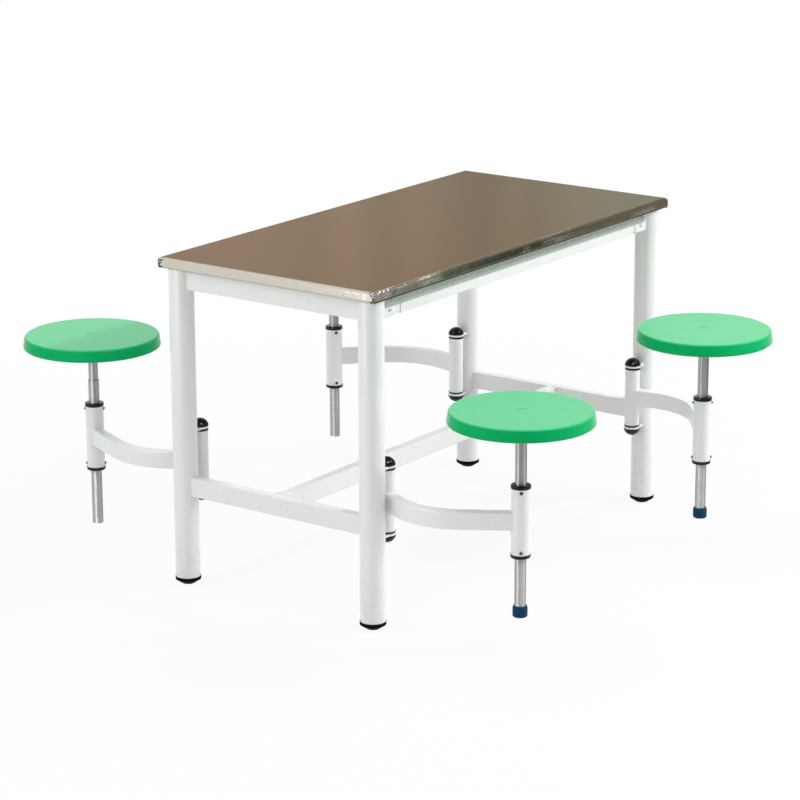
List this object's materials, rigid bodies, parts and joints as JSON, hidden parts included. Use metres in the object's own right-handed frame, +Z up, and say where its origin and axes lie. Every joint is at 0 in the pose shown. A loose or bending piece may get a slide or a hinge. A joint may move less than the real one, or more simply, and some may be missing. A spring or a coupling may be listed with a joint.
{
  "type": "canteen table with attached swivel seats",
  "caption": "Rectangular canteen table with a folded stainless top on a white tube frame; round green seats swing on bent arms hinged at the legs, turn freely and adjust in height.",
  "frame": {"origin": "on the floor under the middle of the table", "axes": "+X along the table's length, +Y across it, +Z up"},
  "size_m": [1.2666, 1.4949, 0.77],
  "materials": {
    "stainless_top": "satin",
    "board": "raw board",
    "strip_steel": "brushed",
    "white_coat": "gloss powder coat",
    "black_plastic": "gloss",
    "green_plastic": "satin",
    "blue_plastic": "matte",
    "polished_stainless": "polished",
    "zinc_steel": "zinc plated",
    "black_steel": "blackened gloss",
    "nylon": "moulded"
  },
  "bodies": {
    "table": {"top_skin": "stainless_top", "top_core": "board", "edge_strips": "strip_steel", "near_leg": "white_coat", "left_leg": "white_coat", "right_leg": "white_coat", "back_leg": "white_coat", "foot_plugs": "black_plastic", "end_aprons": "white_coat", "long_aprons": "white_coat", "apron_stubs": "white_coat", "apron_spigots": "white_coat", "frame_screws": "zinc_steel", "end_stretchers": "white_coat", "centre_stretcher": "white_coat", "pivot_ears": "white_coat", "pivot_pins": "zinc_steel", "pivot_caps": "black_plastic"},
    "near_arm": {"near_pivot_tube": "white_coat", "near_arm_tube": "white_coat", "near_seat_sleeve": "white_coat", "near_arm_bushes": "black_plastic", "near_sleeve_screws": "black_steel"},
    "near_post": {"near_pole": "polished_stainless", "near_stem_rest": "nylon", "near_pole_cap": "blue_plastic"},
    "near_seat": {"near_seat_stem": "polished_stainless", "near_seat_screws": "zinc_steel", "near_seat_shell": "green_plastic"},
    "left_arm": {"left_pivot_tube": "white_coat", "left_arm_tube": "white_coat", "left_seat_sleeve": "white_coat", "left_arm_bushes": "black_plastic", "left_sleeve_screws": "black_steel"},
    "left_post": {"left_pole": "polished_stainless", "left_stem_rest": "nylon"},
    "left_seat": {"left_seat_stem": "polished_stainless", "left_seat_screws": "zinc_steel", "left_seat_shell": "green_plastic"},
    "right_arm": {"right_pivot_tube": "white_coat", "right_arm_tube": "white_coat", "right_seat_sleeve": "white_coat", "right_arm_bushes": "black_plastic", "right_sleeve_screws": "black_steel"},
    "right_post": {"right_pole": "polished_stainless", "right_stem_rest": "nylon", "right_pole_cap": "blue_plastic"},
    "right_seat": {"right_seat_stem": "polished_stainless", "right_seat_screws": "zinc_steel", "right_seat_shell": "green_plastic"},
    "back_arm": {"back_pivot_tube": "white_coat", "back_arm_tube": "white_coat", "back_seat_sleeve": "white_coat", "back_arm_bushes": "black_plastic", "back_sleeve_screws": "black_steel"},
    "back_post": {"back_pole": "polished_stainless", "back_stem_rest": "nylon"},
    "back_seat": {"back_seat_stem": "polished_stainless", "back_seat_screws": "zinc_steel", "back_seat_shell": "green_plastic"}
  },
  "joints": [
    {"name": "near_arm_swing", "type": "hinge", "parent": "table", "child": "near_arm", "pos_m": [-0.51, -0.264, 0.2825], "axis": [0, 0, 1], "range_deg": [-9, 97]},
    {"name": "near_seat_height", "type": "slide", "parent": "near_arm", "child": "near_post", "axis": [0, 0, 1], "range_m": [-0.05, 0.09]},
    {"name": "near_seat_swivel", "type": "hinge", "parent": "near_post", "child": "near_seat", "pos_m": [-0.4653, -0.5859, 0.2825], "axis": [0, 0, 1], "continuous": true},
    {"name": "left_arm_swing", "type": "hinge", "parent": "table", "child": "left_arm", "pos_m": [-0.51, 0.264, 0.2825], "axis": [0, 0, 1], "range_deg": [-104, 2]},
    {"name": "left_seat_height", "type": "slide", "parent": "left_arm", "child": "left_post", "axis": [0, 0, 1], "range_m": [-0.05, 0.09]},
    {"name": "left_seat_swivel", "type": "hinge", "parent": "left_post", "child": "left_seat", "pos_m": [-0.50657, 0.58897, 0.2825], "axis": [0, 0, 1], "continuous": true},
    {"name": "right_arm_swing", "type": "hinge", "parent": "table", "child": "right_arm", "pos_m": [0.51, -0.264, 0.2825], "axis": [0, 0, 1], "range_deg": [-76, 30]},
    {"name": "right_seat_height", "type": "slide", "parent": "right_arm", "child": "right_post", "axis": [0, 0, 1], "range_m": [-0.05, 0.09]},
    {"name": "right_seat_swivel", "type": "hinge", "parent": "right_post", "child": "right_seat", "pos_m": [0.3574, -0.55093, 0.2825], "axis": [0, 0, 1], "continuous": true},
    {"name": "back_arm_swing", "type": "hinge", "parent": "table", "child": "back_arm", "pos_m": [0.51, 0.264, 0.2825], "axis": [0, 0, 1], "range_deg": [-22, 84]},
    {"name": "back_seat_height", "type": "slide", "parent": "back_arm", "child": "back_post", "axis": [0, 0, 1], "range_m": [-0.05, 0.09]},
    {"name": "back_seat_swivel", "type": "hinge", "parent": "back_post", "child": "back_seat", "pos_m": [0.39563, 0.56819, 0.2825], "axis": [0, 0, 1], "continuous": true}
  ]
}
